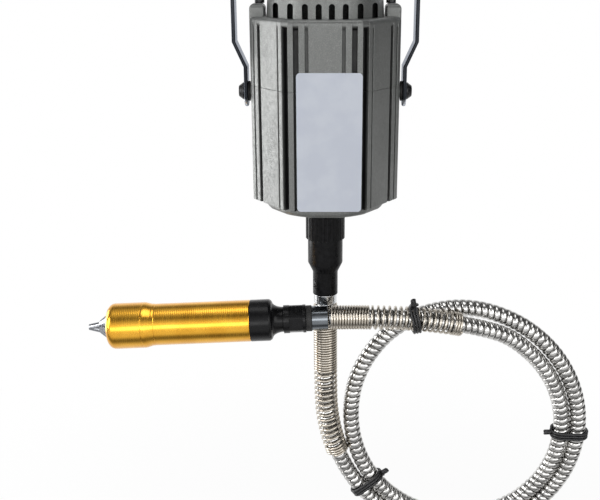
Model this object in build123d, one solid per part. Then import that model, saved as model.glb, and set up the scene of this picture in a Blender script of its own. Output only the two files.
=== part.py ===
"""Hanging flex-shaft rotary tool: a universal motor in a ribbed six-sided casting, hung from a steel
bail, drives a hand-held three-jaw chuck through a flexible shaft in an interlocked steel hose.

Units are millimetres. The origin is the centre of the hanging hole, on the underside of the bail's
crossbar. +Z is up and is the motor's axis, +X is to the right and -Y is the front of the tool.
"""

import math
import os

from build123d import *

# ---------------------------------------------------------------- fits and clearances
running_fit = 0.06  # radial play of a shaft, screw or nut that turns in its seat
sliding_fit = 0.04  # radial play of the handpiece on the hose's spigot
seat_play = 0.05  # radial play of a piece that is pushed into its seat and stays there
face_play = 0.1  # play between faces that turn past each other
open_play = 0.5  # room round a spinning piece that must touch nothing
wrap_play = 0.3  # room between a tie and what it holds

# ---------------------------------------------------------------- bail and its pivots
bail_thickness = 2.5
bail_width = 16.0
bail_half_span = 60.3  # outside of the upper legs
bail_drop = 86.0  # underside of the crossbar to the pivot axis
bail_corner_radius = 12.0
bail_bend_rise = 16.2  # from the pivot axis up to the start of the inward bend
bail_bend_height = 16.0
bail_foot = 10.0  # strip below the pivot axis
hanging_hole_radius = 4.0
pivot_screw_radius = 3.0
pivot_screw_depth = 11.0  # thread in the casting
pivot_head_radius = 5.6
pivot_head_height = 3.8
pivot_hex_across = 3.5
pivot_boss_radius = 4.4
pivot_boss_reach = 1.0  # boss face beyond the casting's corner
pivot_washer_radius = 6.5
pivot_washer_thickness = 1.0

# ---------------------------------------------------------------- motor casting
motor_flat = 42.2  # motor axis to the front and back sides
front_half = 24.4  # half the width of the front and back sides
side_corner = 48.5  # motor axis to the narrow sides that carry the pivots
side_half = 8.5
motor_corner_round = 2.0
motor_top = -40.0  # deck of the upper casting
motor_seam = -81.4
motor_foot = -157.5  # lower end of the ribbed part
base_radius = 40.0
base_depth = 5.5  # round base below the ribbed part
base_round = 3.0
cavity_radius = 36.0
deck_thickness = 4.0
floor_thickness = 4.0
front_grooves = ((10.3, 12.4, 1.7), (16.3, 19.6, 3.4))  # each groove's start, end and depth from the middle
slant_grooves = ((-12.4, -11.2, 1.3), (8.6, 11.8, 2.2), (15.8, 17.2, 1.3))  # from the slanted side's middle
corner_groove_half = 1.8
corner_groove_depth = 4.8
ear_inner = 38.6
ear_height = 10.0
ear_round = 2.5
case_screw_places = ((42.6, 5.2), (-42.6, 5.2))
case_screw_radius = 1.75
case_screw_head_radius = 3.2
case_screw_head_height = 2.0
case_screw_engagement = 9.0
air_slot_width = 3.4
air_slot_inner = 19.0
air_slot_length = 13.0

# ---------------------------------------------------------------- vent cap, lead inlet and label
cap_radius = 38.1
cap_top_radius = 37.0
cap_height = 17.5
cap_wall = 2.4
cap_round = 3.0
cap_slot_places = (4.0, 12.4, 21.6, 31.0)
cap_slot_width = 3.7
cap_slot_foot = 1.6  # solid band below the slots
cap_slot_height = 9.6
filter_radius = 33.6
filter_thickness = 5.0
inlet_height = -62.0
inlet_radius = 7.0
inlet_reach = 15.0
inlet_flange_radius = 9.5
inlet_flange_thickness = 2.0
lead_radius = 3.5  # the mains lead that the gland takes
lead_clearance = 0.1
label_width = 41.0
label_length = 88.0
label_top = -69.3
label_offset = 2.5
label_thickness = 0.3
label_corner = 2.5

# ---------------------------------------------------------------- motor inside
shaft_radius = 4.0
shaft_top = -43.5
shaft_bottom = -176.0
bearing_radius = 11.0
bearing_height = 7.0
bearing_boss_wall = 3.5
upper_bearing_top = -44.5
lower_bearing_top = -149.0
stator_inner = 21.5
stator_top = -90.0
stator_length = 46.0
armature_radius = 20.6
winding_radius = 17.0
winding_reach = 7.0
coil_reach = 6.5
coil_inner = 23.0
coil_outer = 33.0
commutator_radius = 11.0
commutator_length = 16.0
fan_radius = 31.0
fan_height = 5.0
fan_hub_radius = 8.0
fan_blades = 12
fan_blade_thickness = 1.6
brush_width = 6.0
brush_length = 13.0
brush_wall = 1.2
brush_contact_play = 0.2

# ---------------------------------------------------------------- motor-end coupling
nose_flange_radius = 17.0
nose_flange_thickness = 2.6
nose_radius = 10.0
nose_bore = 7.0
nose_length = 15.0
nut_radius = 13.5
nut_length = 21.6
nut_flutes = 28
nut_flute_radius = 0.85
adapter_radius = 12.1
adapter_length = 17.6
adapter_taper = 7.0
adapter_neck_radius = 8.75
adapter_neck_length = 16.4
adapter_bore = 5.0
set_screw_radius = 1.5
set_screw_length = 2.4
set_screw_turn = 62.0  # degrees from the front, towards -X
set_screw_spacing = 5.0
ferrule_radius = 8.1
ferrule_lip = 7.0
ferrule_spigot_radius = 6.5
ferrule_spigot_length = 22.0
core_radius = 2.5

# ---------------------------------------------------------------- hose, its route and the ties
hose_radius = 6.0
relief_radius = 8.5
relief_wall = 2.0
coil_centre = (98.0, -332.8)
outer_turn_radius = 91.0
inner_turn_radius = 76.9
turn_oval = 2.4  # how far the turns stand out of round
turn_oval_angle = 127.0
turn_step = 30  # degrees between the route's points
coil_first = -150
coil_last = 420
coil_back = 3.5  # the outer turn passes this far behind the coil's own plane at the top
coil_forward = 2.5  # the inner turn leaves the coil this far in front of it
hose_end_play = 0.4  # between the hose's end face and the collar, which is tilted to it
coil_end_play = 0.3
top_tie_x = 64.0
right_tie_angle = -4.0
lower_tie_angle = -142.0
tie_thickness = 1.7
tie_width = 6.0

# ---------------------------------------------------------------- handpiece, measured forward from its collar
handpiece_place = (1.9, -18.0, -240.3)
handpiece_tilt = 2.5  # degrees, chuck end down
collar_radius = 8.5
collar_length = 11.2
dust_ring_radius = 9.05
dust_ring_length = 4.1
spigot_radius = 6.5
spigot_length = 26.0
connector_radius = 9.8
connector_length = 15.4
connector_across = 18.0
neck_radius = 8.7
neck_length = 8.3
rear_cap_length = 14.8
grip_radius = 14.5
grip_wall = 2.6
grip_rear_length = 65.8
band_length = 8.7
grip_front_radius = 15.9
grip_front_length = 24.4
grip_front_round = 5.6
grip_lip = 1.6
hand_bearing_height = 7.0
spindle_radius = 5.0
drive_key_across = 3.6
drive_key_play = 0.25
drive_key_length = 12.0
chuck_radius = 11.2
chuck_length = 22.0  # nose included
nose_cone_length = 7.1
nose_back_radius = 10.1
nose_front_radius = 4.5
jaw_radius = 2.3
jaw_angle = 15.0
jaw_reach = 8.0  # tip beyond the nose
jaw_length = 20.0
jaw_travel = 7.6
jaw_slit = 0.12
jaw_tip_radius = 1.9
shank_radius = 1.175  # the jaws stand closed on a 2.35 mm shank
shank_play = 0.025
tool_bore = 3.3
key_hole_radius = 1.5
key_hole_depth = 3.0
key_hole_back = 4.8  # behind the nose's front face

# ---------------------------------------------------------------- worked out from the sizes above
pivot_z = -bail_drop
boss_face = side_corner + pivot_boss_reach
bail_inside = boss_face + pivot_washer_thickness + face_play
bail_outside = bail_inside + bail_thickness
base_z = motor_foot - base_depth
nose_end = base_z - nose_length
nut_top = base_z - nose_flange_thickness - face_play
nut_bottom = nut_top - nut_length
adapter_top = nut_bottom - face_play
adapter_taper_top = adapter_top - adapter_length
adapter_neck_top = adapter_taper_top - adapter_taper
adapter_bottom = adapter_neck_top - adapter_neck_length
ferrule_bottom = adapter_bottom - ferrule_lip

ring_at = collar_length
connector_at = ring_at + dust_ring_length + face_play
neck_at = connector_at + connector_length
rear_cap_at = neck_at + neck_length
grip_rear_at = rear_cap_at + rear_cap_length
band_at = grip_rear_at + grip_rear_length
grip_front_at = band_at + band_length
grip_front_end = grip_front_at + grip_front_length
nose_front_at = grip_front_end - grip_lip + nose_cone_length + open_play
chuck_at = nose_front_at - chuck_length
jaw_tip_at = nose_front_at + jaw_reach
spigot_tip_at = ring_at + spigot_length
grip_bore = grip_radius - grip_wall
front_bore = grip_front_radius - grip_wall
rear_bearing_at = grip_rear_at + 2.0
front_bearing_at = chuck_at - hand_bearing_height - 2.0
socket_at = spigot_tip_at + face_play


# ---------------------------------------------------------------- helpers
def turned(*points):
    """A solid turned about Z from a closed outline of (radius, height) points."""
    return revolve(Plane.XZ * make_face(Polyline(*points, close=True)), Axis.Z)


def ring(outer, inner, low, high):
    """A plain ring or, with no inner radius, a plain disc between two heights."""
    disc = Pos(0, 0, (low + high) / 2) * Cylinder(outer, high - low)
    return disc - Pos(0, 0, (low + high) / 2) * Cylinder(inner, high - low + 2) if inner else disc


def along_x(radius, start, end, z=0.0, y=0.0):
    """A round bar along X between two places."""
    return Pos((start + end) / 2, y, z) * Rot(0, 90, 0) * Cylinder(radius, abs(end - start))


def block(x0, x1, y0, y1, z0, z1):
    """A box between three pairs of limits."""
    return Pos((x0 + x1) / 2, (y0 + y1) / 2, (z0 + z1) / 2) * Box(x1 - x0, y1 - y0, z1 - z0)


def both_sides(shape):
    """The shape and its copy turned half round the motor's axis."""
    return [shape, Rot(0, 0, 180) * shape]


def save(name, *shapes):
    """Writes the shapes, one solid each, to parts/name.step."""
    solids = []
    for shape in shapes:
        solids += list(shape.solids())
    export_step(solids[0] if len(solids) == 1 else Compound(children=solids), f"parts/{name}.step")


# ---------------------------------------------------------------- bail
def make_bail():
    """A flat steel strip bent to a U with joggled legs, bored for its pivots and its hook."""
    top = bail_thickness
    bend_low = pivot_z + bail_bend_rise
    bend_high = bend_low + bail_bend_height
    foot = pivot_z - bail_foot
    right = [(bail_half_span, top), (bail_half_span, bend_high), (bail_outside, bend_low)]
    right.append((bail_outside, foot))
    inner = bail_half_span - bail_thickness
    right_in = [(bail_inside, foot), (bail_inside, bend_low), (inner, bend_high), (inner, 0)]
    half = right + right_in
    outline = half + [(-x, z) for x, z in reversed(half)]
    strip = extrude(Plane.XZ * make_face(Polyline(*outline, close=True)), bail_width / 2, both=True)
    inner_edges = [e for e in strip.edges().filter_by(Axis.Y) if abs(e.center().Z) < 0.01]
    strip = fillet(inner_edges, bail_corner_radius - bail_thickness)
    outer_edges = [e for e in strip.edges().filter_by(Axis.Y)
                   if e.center().Z > top - 0.01 and abs(e.center().X) > inner]
    strip = fillet(outer_edges, bail_corner_radius)
    feet = [e for e in strip.edges().filter_by(Axis.X) if abs(e.center().Z - foot) < 0.01]
    strip = fillet(feet, bail_width / 2 - 0.5)
    reach = 2 * bail_half_span + 10
    strip -= along_x(pivot_screw_radius + running_fit, -reach / 2, reach / 2, pivot_z)
    return strip - Pos(0, 0, top / 2) * Cylinder(hanging_hole_radius, 3 * top)


def make_pivot_washer():
    """Fibre washer between the casting's boss and the bail."""
    washer = along_x(pivot_washer_radius, boss_face, boss_face + pivot_washer_thickness, pivot_z)
    return washer - along_x(pivot_screw_radius + seat_play, 0, boss_face + 10, pivot_z)


def make_pivot_screw():
    """Black button-head screw that the bail swings on."""
    seat = bail_outside + face_play
    shank = along_x(pivot_screw_radius, side_corner - pivot_screw_depth, seat, pivot_z)
    outline = Plane.XZ * make_face(
        Polyline((0, 0), (pivot_head_radius, 0), (pivot_head_radius, 0.9),
                 (pivot_head_radius * 0.62, pivot_head_height), (0, pivot_head_height), close=True))
    head = Pos(seat, 0, pivot_z) * Rot(0, 90, 0) * revolve(outline, Axis.Z)
    socket = Pos(seat + pivot_head_height, 0, pivot_z) * Rot(0, 90, 0) * extrude(
        RegularPolygon(pivot_hex_across / 2, 6, major_radius=False), 2.0, both=True)
    return shank + head - socket


# ---------------------------------------------------------------- motor casting
def casting_outline():
    """The castings' eight-sided outline: wide front and back, four slanted sides, two narrow sides."""
    corners = [(front_half, -motor_flat), (side_corner, -side_half)]
    corners += [(x, -y) for x, y in reversed(corners)]
    return make_face(Polyline(*corners, *[(-x, y) for x, y in reversed(corners)], close=True))


def quarter_grooves(right, back, low, high):
    """The tools that cut one quarter's grooves: half of a wide side, its corner and a slanted side."""
    for start, end, depth in front_grooves:
        across = sorted((right * start, right * end))
        yield block(*across, *sorted((back * (motor_flat - depth), back * (motor_flat + 5))), low, high)
    corner_turn = math.degrees(math.atan2(back * motor_flat, right * front_half))
    corner_reach = math.hypot(front_half, motor_flat)
    yield Rot(0, 0, corner_turn) * block(corner_reach - corner_groove_depth, corner_reach + 3,
                                         -corner_groove_half, corner_groove_half, low, high)
    fall = math.degrees(math.atan2(motor_flat - side_half, side_corner - front_half))
    middle = Pos(right * (front_half + side_corner) / 2, back * (motor_flat + side_half) / 2, 0)
    for start, end, depth in slant_grooves:
        across = sorted((right * start, right * end))
        yield middle * Rot(0, 0, -right * back * fall) * block(*across, -depth, depth, low, high)


def ribbed_body(low, high, cut_high):
    """The eight-sided body with the grooves that leave its ribs, panels and corner posts."""
    body = Pos(0, 0, low) * extrude(casting_outline(), high - low)
    body = fillet(body.edges().filter_by(Axis.Z), motor_corner_round)
    for right in (-1, 1):
        for back in (-1, 1):
            for groove in quarter_grooves(right, back, low - 1, cut_high):
                body -= groove
    return body


def air_slots(count, low, high):
    """Radial slots through a deck or floor."""
    slot = block(air_slot_inner, air_slot_inner + air_slot_length,
                 -air_slot_width / 2, air_slot_width / 2, low, high)
    return [Rot(0, 0, 360 / count * (i + 0.5)) * slot for i in range(count)]


def make_upper_casting():
    """Upper half of the casting: deck, bearing boss, two screw ears and the seat of the lead gland."""
    body = ribbed_body(motor_seam, motor_top, motor_top - 2.5)
    rim = [e for e in body.edges().filter_by(GeomType.LINE) if abs(e.center().Z - motor_top) < 0.01]
    body = chamfer(rim, 0.8)
    for turn in (0, 180):
        ear = block(ear_inner, side_corner, -side_half, side_half, motor_top - 3, motor_top + ear_height)
        outer = [e for e in ear.edges() if e.center().Z > motor_top and e.center().X > side_corner - 0.1]
        body += Rot(0, 0, turn) * fillet(outer, ear_round)
    body -= ring(cavity_radius, 0, motor_seam - 1, motor_top - deck_thickness)
    boss_low = upper_bearing_top - bearing_height
    body += ring(bearing_radius + bearing_boss_wall, 0, boss_low, motor_top - deck_thickness + 0.5)
    body -= ring(bearing_radius + seat_play, 0, boss_low - 1, upper_bearing_top)
    body -= ring(shaft_radius + open_play, 0, boss_low, motor_top + 1)
    for slot in air_slots(8, motor_top - deck_thickness - 1, motor_top + 1):
        body -= slot
    for x, y in case_screw_places:
        body -= Pos(x, y, 0) * ring(case_screw_radius + 0.25, 0, motor_seam - 1, motor_top + ear_height + 1)
    body -= Pos(0, motor_flat, inlet_height) * Rot(90, 0, 0) * Cylinder(inlet_radius + seat_play, 30)
    return body


def make_lower_casting():
    """Lower half of the casting: pivot bosses, round base, floor and lower bearing boss."""
    body = ribbed_body(motor_foot, motor_seam, motor_seam + 1)
    base = ring(base_radius, 0, base_z, motor_foot)
    base = fillet([e for e in base.edges() if abs(e.center().Z - base_z) < 0.01], base_round)
    body += base
    for turn in (0, 180):
        body += Rot(0, 0, turn) * along_x(pivot_boss_radius, cavity_radius + 1, boss_face, pivot_z)
    body -= ring(cavity_radius, 0, base_z + floor_thickness, motor_seam + 1)
    body += ring(bearing_radius + bearing_boss_wall, 0, base_z + 1, lower_bearing_top)
    body -= ring(bearing_radius + seat_play, 0, lower_bearing_top - bearing_height, lower_bearing_top + 1)
    body -= ring(shaft_radius + open_play, 0, base_z - 1, lower_bearing_top)
    for slot in air_slots(8, base_z - 1, base_z + floor_thickness + 1):
        body -= slot
    for x, y in case_screw_places:
        body -= Pos(x, y, 0) * ring(case_screw_radius + seat_play, 0, motor_seam - case_screw_engagement - 1,
                                    motor_seam + 1)
    for turn in (0, 180):
        depth = side_corner - pivot_screw_depth - 0.5
        body -= Rot(0, 0, turn) * along_x(pivot_screw_radius + seat_play, depth, boss_face + 5, pivot_z)
    return body


def make_case_screw(x, y):
    """Long pan-head screw from an ear down into the lower casting."""
    seat = motor_top + ear_height
    screw = ring(case_screw_radius, 0, motor_seam - case_screw_engagement, seat)
    screw += ring(case_screw_head_radius, 0, seat, seat + case_screw_head_height)
    screw -= block(-2.4, 2.4, -0.4, 0.4, seat + 0.9, seat + 3)
    screw -= block(-0.4, 0.4, -2.4, 2.4, seat + 0.9, seat + 3)
    return Pos(x, y, 0) * screw


# ---------------------------------------------------------------- vent cap, inlet gland and label
def make_vent_cap():
    """Round slotted cap over the deck, with a slotted lid."""
    low, high = motor_top, motor_top + cap_height
    cap = turned((0, low), (cap_radius, low), (cap_top_radius, high), (0, high))
    cap = fillet([e for e in cap.edges() if abs(e.center().Z - high) < 0.01], cap_round)
    cap -= turned((0, low - 1), (cap_radius - cap_wall, low - 1), (cap_top_radius - cap_wall, high - cap_wall),
                  (0, high - cap_wall))
    slot_low = low + cap_slot_foot
    for place in cap_slot_places:
        for x in (place, -place):
            straight = block(x - cap_slot_width / 2, x + cap_slot_width / 2, -cap_radius - 5, cap_radius + 5,
                             slot_low, slot_low + cap_slot_height - cap_slot_width / 2)
            crown = Pos(x, 0, slot_low + cap_slot_height - cap_slot_width / 2) * Rot(90, 0, 0) * Cylinder(
                cap_slot_width / 2, 2 * cap_radius + 10)
            cap -= straight + crown
    for place in cap_slot_places[:3]:
        for x in (place, -place):
            cap -= block(x - 1.2, x + 1.2, -21, 21, high - cap_wall - 1, high + 1)
    for x, y in case_screw_places:
        cap -= Pos(x, y, 0) * ring(case_screw_head_radius + 0.6, 0, low - 1, high + 1)
    return max(cap.solids(), key=lambda s: s.volume)


def make_lead_gland():
    """Rubber gland in the back of the upper casting, bored for the mains lead."""
    face = motor_flat
    stem = Pos(0, face - 3, inlet_height) * Rot(90, 0, 0) * Cylinder(inlet_radius, 2 * 3)
    flange = Pos(0, face + inlet_flange_thickness / 2, inlet_height) * Rot(90, 0, 0) * Cylinder(
        inlet_flange_radius, inlet_flange_thickness)
    cone = Pos(0, face + inlet_flange_thickness, inlet_height) * Rot(-90, 0, 0) * Cone(
        inlet_radius, inlet_radius - 1.6, inlet_reach - inlet_flange_thickness,
        align=(Align.CENTER, Align.CENTER, Align.MIN))
    bore = Pos(0, face, inlet_height) * Rot(90, 0, 0) * Cylinder(lead_radius + lead_clearance, 4 * inlet_reach)
    return stem + flange + cone - bore


def make_label():
    """Blank rating plate stuck across the front ribs."""
    plate = Plane.XZ.offset(motor_flat) * (Pos(label_offset, label_top - label_length / 2)
                                           * RectangleRounded(label_width, label_length, label_corner))
    return extrude(plate, label_thickness)


def make_intake_filter():
    """Black foam ring behind the cap's slots."""
    return ring(filter_radius, filter_radius - filter_thickness, motor_top, motor_top + cap_height - cap_wall)


# ---------------------------------------------------------------- motor inside
def make_stator_core():
    """Laminated stator pressed into the cavity."""
    return ring(cavity_radius - seat_play, stator_inner, stator_top - stator_length, stator_top)


def make_field_coil(turn):
    """One field winding: its two end turns, one on each face of the stator."""
    ends = []
    stator_foot = stator_top - stator_length
    for low, high in ((stator_top, stator_top + coil_reach), (stator_foot - coil_reach, stator_foot)):
        arc = ring(coil_outer, coil_inner, low, high) - block(-60, 60, -60, 12, low - 1, high + 1)
        ends.append(Rot(0, 0, turn) * arc)
    return ends


def make_armature_shaft():
    """Motor shaft with the bored and slotted drive end that takes the core's stub."""
    shaft = ring(shaft_radius, 0, shaft_bottom, shaft_top)
    return shaft - ring(core_radius + seat_play, 0, shaft_bottom - 1, shaft_bottom + 10)


def make_armature_core():
    """Slotted stack of laminations on the shaft."""
    low, high = stator_top - stator_length + 0.5, stator_top - 0.5
    stack = ring(armature_radius, shaft_radius + seat_play, low, high)
    for i in range(12):
        stack -= Rot(0, 0, 30 * i) * block(armature_radius - 3.5, armature_radius + 1, -0.9, 0.9, low - 1, high + 1)
    return stack


def make_armature_windings():
    """End turns of the armature winding, above and below the stack."""
    low, high = stator_top - stator_length + 0.5, stator_top - 0.5
    ends = []
    for a, b in ((high, high + winding_reach), (low - winding_reach, low)):
        ends.append(ring(winding_radius, shaft_radius + seat_play, a, b))
    return ends


def commutator_top():
    """Height of the commutator's upper end, below the upper bearing."""
    return upper_bearing_top - bearing_height - 2.0


def make_commutator():
    """Copper commutator with its segment gaps."""
    high = commutator_top()
    low = high - commutator_length
    drum = ring(commutator_radius, shaft_radius + seat_play, low, high)
    for i in range(16):
        drum -= Rot(0, 0, 22.5 * i) * block(commutator_radius - 1.2, commutator_radius + 1, -0.3, 0.3,
                                            low + 2, high + 1)
    return drum


def make_fan():
    """Radial cooling fan below the armature."""
    high = lower_bearing_top + fan_height + 1.2
    low = high - fan_height
    fan = ring(fan_radius, shaft_radius + seat_play, low, low + 1.2)
    fan += ring(fan_hub_radius, shaft_radius + seat_play, low, high)
    blade = block(fan_hub_radius - 0.5, fan_radius,
                  -fan_blade_thickness / 2, fan_blade_thickness / 2, low + 0.6, high)
    for i in range(fan_blades):
        fan += Rot(0, 0, 360 / fan_blades * i) * blade
    return fan


def make_bearing(top):
    """Ball bearing of the motor shaft, as a closed ring."""
    return ring(bearing_radius, shaft_radius + running_fit, top - bearing_height, top)


def brush_height():
    """Height of the brushes, at the middle of the commutator."""
    return commutator_top() - commutator_length / 2


def make_brush_holder():
    """Brass box that guides one brush, from the wall of the cavity inward."""
    z = brush_height()
    half = brush_width / 2 + brush_wall
    inner = commutator_radius + 3.0
    box = block(inner, cavity_radius - 0.6, -half, half, z - half, z + half)
    hole = brush_width / 2 + seat_play
    return box - block(inner - 1, cavity_radius - 2.5, -hole, hole, z - hole, z + hole)


def make_brush():
    """Carbon brush on the commutator."""
    z, half = brush_height(), brush_width / 2
    start = commutator_radius + brush_contact_play
    return block(start, start + brush_length, -half, half, z - half, z + half)


def make_brush_spring():
    """Spring that presses the brush in, as a plain sleeve."""
    z = brush_height()
    start = commutator_radius + brush_contact_play + brush_length
    return along_x(2.4, start, cavity_radius - 2.5, z) - along_x(1.5, start - 1, cavity_radius, z)


# ---------------------------------------------------------------- motor-end coupling
def make_motor_nose():
    """Threaded nose under the base, on a round flange."""
    flange = ring(nose_flange_radius, nose_bore, base_z - nose_flange_thickness, base_z)
    return flange + ring(nose_radius, nose_bore, nose_end, base_z)


def make_coupling_nut():
    """Fluted black nut that turns on the nose."""
    nut = ring(nut_radius, nose_radius + running_fit, nut_bottom, nut_top)
    flute = Pos(nut_radius + 0.35, 0, 0) * ring(nut_flute_radius, 0, nut_bottom - 1, nut_top - 1.6)
    for i in range(nut_flutes):
        nut -= Rot(0, 0, 360 / nut_flutes * i) * flute
    return nut


def make_shaft_adapter():
    """Black sleeve that joins the hose's ferrule to the nose."""
    sleeve = turned((0, nose_end - face_play), (nose_radius, nose_end - face_play), (nose_radius, adapter_top),
                    (adapter_radius, adapter_top), (adapter_radius, adapter_taper_top),
                    (adapter_neck_radius, adapter_neck_top), (adapter_neck_radius, adapter_bottom),
                    (0, adapter_bottom))
    sleeve -= ring(adapter_bore, 0, adapter_bottom - 1, nose_end + 1)
    seat_end = adapter_bottom + ferrule_spigot_length + 0.5
    sleeve -= ring(ferrule_spigot_radius + seat_play, 0, adapter_bottom - 1, seat_end)
    for screw in set_screw_places():
        sleeve -= screw * Pos(0, 0, adapter_neck_radius) * Cylinder(set_screw_radius + seat_play, 8)
    return sleeve


def set_screw_places():
    """Where the two set screws point: local Z runs outward from the sleeve's axis."""
    middle = (adapter_neck_top + adapter_bottom) / 2
    turn = Rot(0, 0, -set_screw_turn) * Rot(90, 0, 0)
    return [Pos(0, 0, middle + shift) * turn for shift in (set_screw_spacing / 2, -set_screw_spacing / 2)]


def make_set_screw(place):
    """Headless socket screw that holds the ferrule."""
    start = ferrule_spigot_radius + seat_play
    screw = Pos(0, 0, start + set_screw_length / 2) * Cylinder(set_screw_radius, set_screw_length)
    screw -= Pos(0, 0, start + set_screw_length) * extrude(RegularPolygon(0.75, 6, major_radius=False), 1.2, both=True)
    return place * screw


def make_motor_ferrule():
    """Bright ferrule crimped on the hose's motor end."""
    lip = ring(ferrule_radius, core_radius + open_play, ferrule_bottom, adapter_bottom)
    return lip + ring(ferrule_spigot_radius, core_radius + open_play, adapter_bottom, adapter_bottom + ferrule_spigot_length)


def make_core_stub():
    """End of the flexible core, held in the motor shaft."""
    return ring(core_radius, 0, ferrule_bottom + 2.0, shaft_bottom + 9.0)


# ---------------------------------------------------------------- the hose's route
def smooth(value, start, end):
    """Goes from 0 to 1 between start and end, with level ends."""
    t = min(1.0, max(0.0, (value - start) / (end - start)))
    return t * t * (3 - 2 * t)


def coil_place(angle):
    """Radius and depth of the hose's middle in its coil, at an angle in degrees counted along the hose."""
    step_in = (outer_turn_radius - inner_turn_radius) * smooth(angle, 90, 180)
    oval = turn_oval * math.cos(math.radians(2 * (angle - turn_oval_angle)))
    depth = coil_back * smooth(angle, 10, 85) * (1 - smooth(angle, 130, 240))
    return outer_turn_radius - step_in + oval, depth - coil_forward * smooth(angle, 380, 430)


def coil_point(angle):
    """A corner of the hose's route: the middles of its runs lie on the coil's line."""
    radius, depth = coil_place(angle)
    radius /= math.cos(math.radians(turn_step / 2))
    a = math.radians(angle)
    return (coil_centre[0] + radius * math.cos(a), depth, coil_centre[1] + radius * math.sin(a))


def coil_route(first, last):
    """The route's points in the coil between two angles."""
    return [coil_point(angle) for angle in range(first, last + 1, turn_step)]


def halfway(a, b):
    """The point halfway between two points."""
    return tuple((p + q) / 2 for p, q in zip(a, b))


def handpiece_point(forward):
    """A point on the handpiece's axis, so far forward of the collar's back face."""
    tilt = math.radians(handpiece_tilt)
    x, y, z = handpiece_place
    return (x - forward * math.cos(tilt), y, z - forward * math.sin(tilt))


motor_route = [(0, 0, ferrule_bottom), (0, 0, -284), (1.2, 0, -334)]
hand_route = [(112, -6.8, -252.7), (76, -13.4, -244.2), (38, -17.5, -240.0), handpiece_point(-hose_end_play)]


def tangent_radii(points):
    """The radius of the arc at each inner point: 0.45 of the shorter run over the tangent of half the turn."""
    radii = []
    for a, b, c in zip(points, points[1:], points[2:]):
        before, after = Vector(*b) - Vector(*a), Vector(*c) - Vector(*b)
        turn = math.radians(before.get_angle(after))
        radii.append(0.45 * min(before.length, after.length) / math.tan(turn / 2))
    return radii


def hose_route():
    """Every point of the hose's route, from the motor's ferrule to the handpiece's collar."""
    return motor_route + coil_route(coil_first, coil_last) + hand_route


def route_part(first, last):
    """The route from its point first to its point last, with half a run beyond each that isn't an end."""
    route = hose_route()
    radii = tangent_radii(route)
    points = route[first:last + 1]
    if first > 0:
        points = [halfway(route[first - 1], route[first])] + points
    if last < len(route) - 1:
        points = points + [halfway(route[last], route[last + 1])]
    inner_first, inner_last = max(first, 1), min(last, len(route) - 2)
    return points, radii[inner_first - 1:inner_last]


def tube(part, outer, inner=0.0):
    """A tube along part of the route: straight runs joined by tangent arcs. Also gives its length."""
    points, radii = part
    path = FilletPolyline(*points, radius=radii)
    start = Plane(origin=path @ 0, z_dir=path % 0)
    solid = sweep(start * Circle(outer), path=path)
    if inner:
        solid -= sweep(start * Circle(inner), path=path)
    return solid, path.length


def coil_index(angle):
    """Where a point of the coil comes in the route."""
    return len(motor_route) + (angle - coil_first) // turn_step


def hose_tubes():
    """The three parts of the route where the hose is a single plain tube."""
    lead_in = route_part(0, coil_index(coil_first))
    single = route_part(coil_index(60), coil_index(210))
    lead_out = route_part(coil_index(coil_last), len(hose_route()) - 1)
    return lead_in, single, lead_out


def make_relief_springs():
    """The two relief springs' outer shapes, as sleeves round the ends of the hose."""
    bore = relief_radius - relief_wall
    last = len(hose_route()) - 1
    motor_spring, _ = tube(route_part(0, 2), relief_radius, bore)
    hand_spring, _ = tube(route_part(last - 2, last), relief_radius, bore)
    return motor_spring, hand_spring


def round_pair(first, second, extra):
    """Outline round two circles, each given by its centre and radius, grown by extra."""
    circles = [Pos(*centre) * Circle(radius + extra) for centre, radius in (first, second)]
    return make_hull(circles[0].edges() + circles[1].edges())


def swept_round(section, first, last):
    """A section, drawn by radius and depth, carried round the coil's centre between two angles."""
    axis = Axis((coil_centre[0], 0, coil_centre[1]), (0, -1, 0))
    face = Plane(origin=(coil_centre[0], 0, coil_centre[1]), x_dir=(1, 0, 0), z_dir=(0, 0, 1)) * section
    return revolve(face.rotate(axis, first), axis, last - first)


def make_hose_coil():
    """The part of the coil where the two turns lie side by side, as one closed solid."""
    section = round_pair(((outer_turn_radius, 0), hose_radius), ((inner_turn_radius, 0), hose_radius), 0)
    spare = math.degrees(coil_end_play / outer_turn_radius)
    return swept_round(section, coil_first + turn_step / 2 + spare, 1.5 * turn_step - spare)


def make_turns_tie(angle):
    """Black twist tie round both turns at an angle of the coil."""
    pair = [(coil_place(a), hose_radius + 0.6) for a in (angle, angle + 360)]
    half = math.degrees(tie_width / 2 / outer_turn_radius)
    outer = swept_round(round_pair(*pair, wrap_play + tie_thickness), angle - half, angle + half)
    return outer - swept_round(round_pair(*pair, wrap_play), angle - half - 1, angle + half + 1)


def crossing(part, x):
    """Depth and height of a route where it passes a place across the tool."""
    points, radii = part
    path = FilletPolyline(*points, radius=radii)
    upper = [p for p in (path @ (i / 400) for i in range(401)) if p.Z > coil_centre[1]]
    near = min(upper, key=lambda p: abs(p.X - x))
    return near.Y, near.Z


def make_top_tie():
    """Black twist tie that holds the relief spring against the turn behind it."""
    _, single, lead_out = hose_tubes()
    pair = ((crossing(lead_out, top_tie_x), relief_radius + 0.4), (crossing(single, top_tie_x), hose_radius + 2.0))
    outer = Plane.YZ.offset(top_tie_x - tie_width / 2) * round_pair(*pair, wrap_play + tie_thickness)
    inner = Plane.YZ.offset(top_tie_x - tie_width / 2 - 1) * round_pair(*pair, wrap_play)
    return extrude(outer, tie_width) - extrude(inner, tie_width + 2)


# ---------------------------------------------------------------- handpiece
def on_handpiece(shape):
    """Places a shape whose +Z runs forward along the handpiece from its collar."""
    return Pos(*handpiece_place) * Rot(0, -90 - handpiece_tilt, 0) * shape


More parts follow.
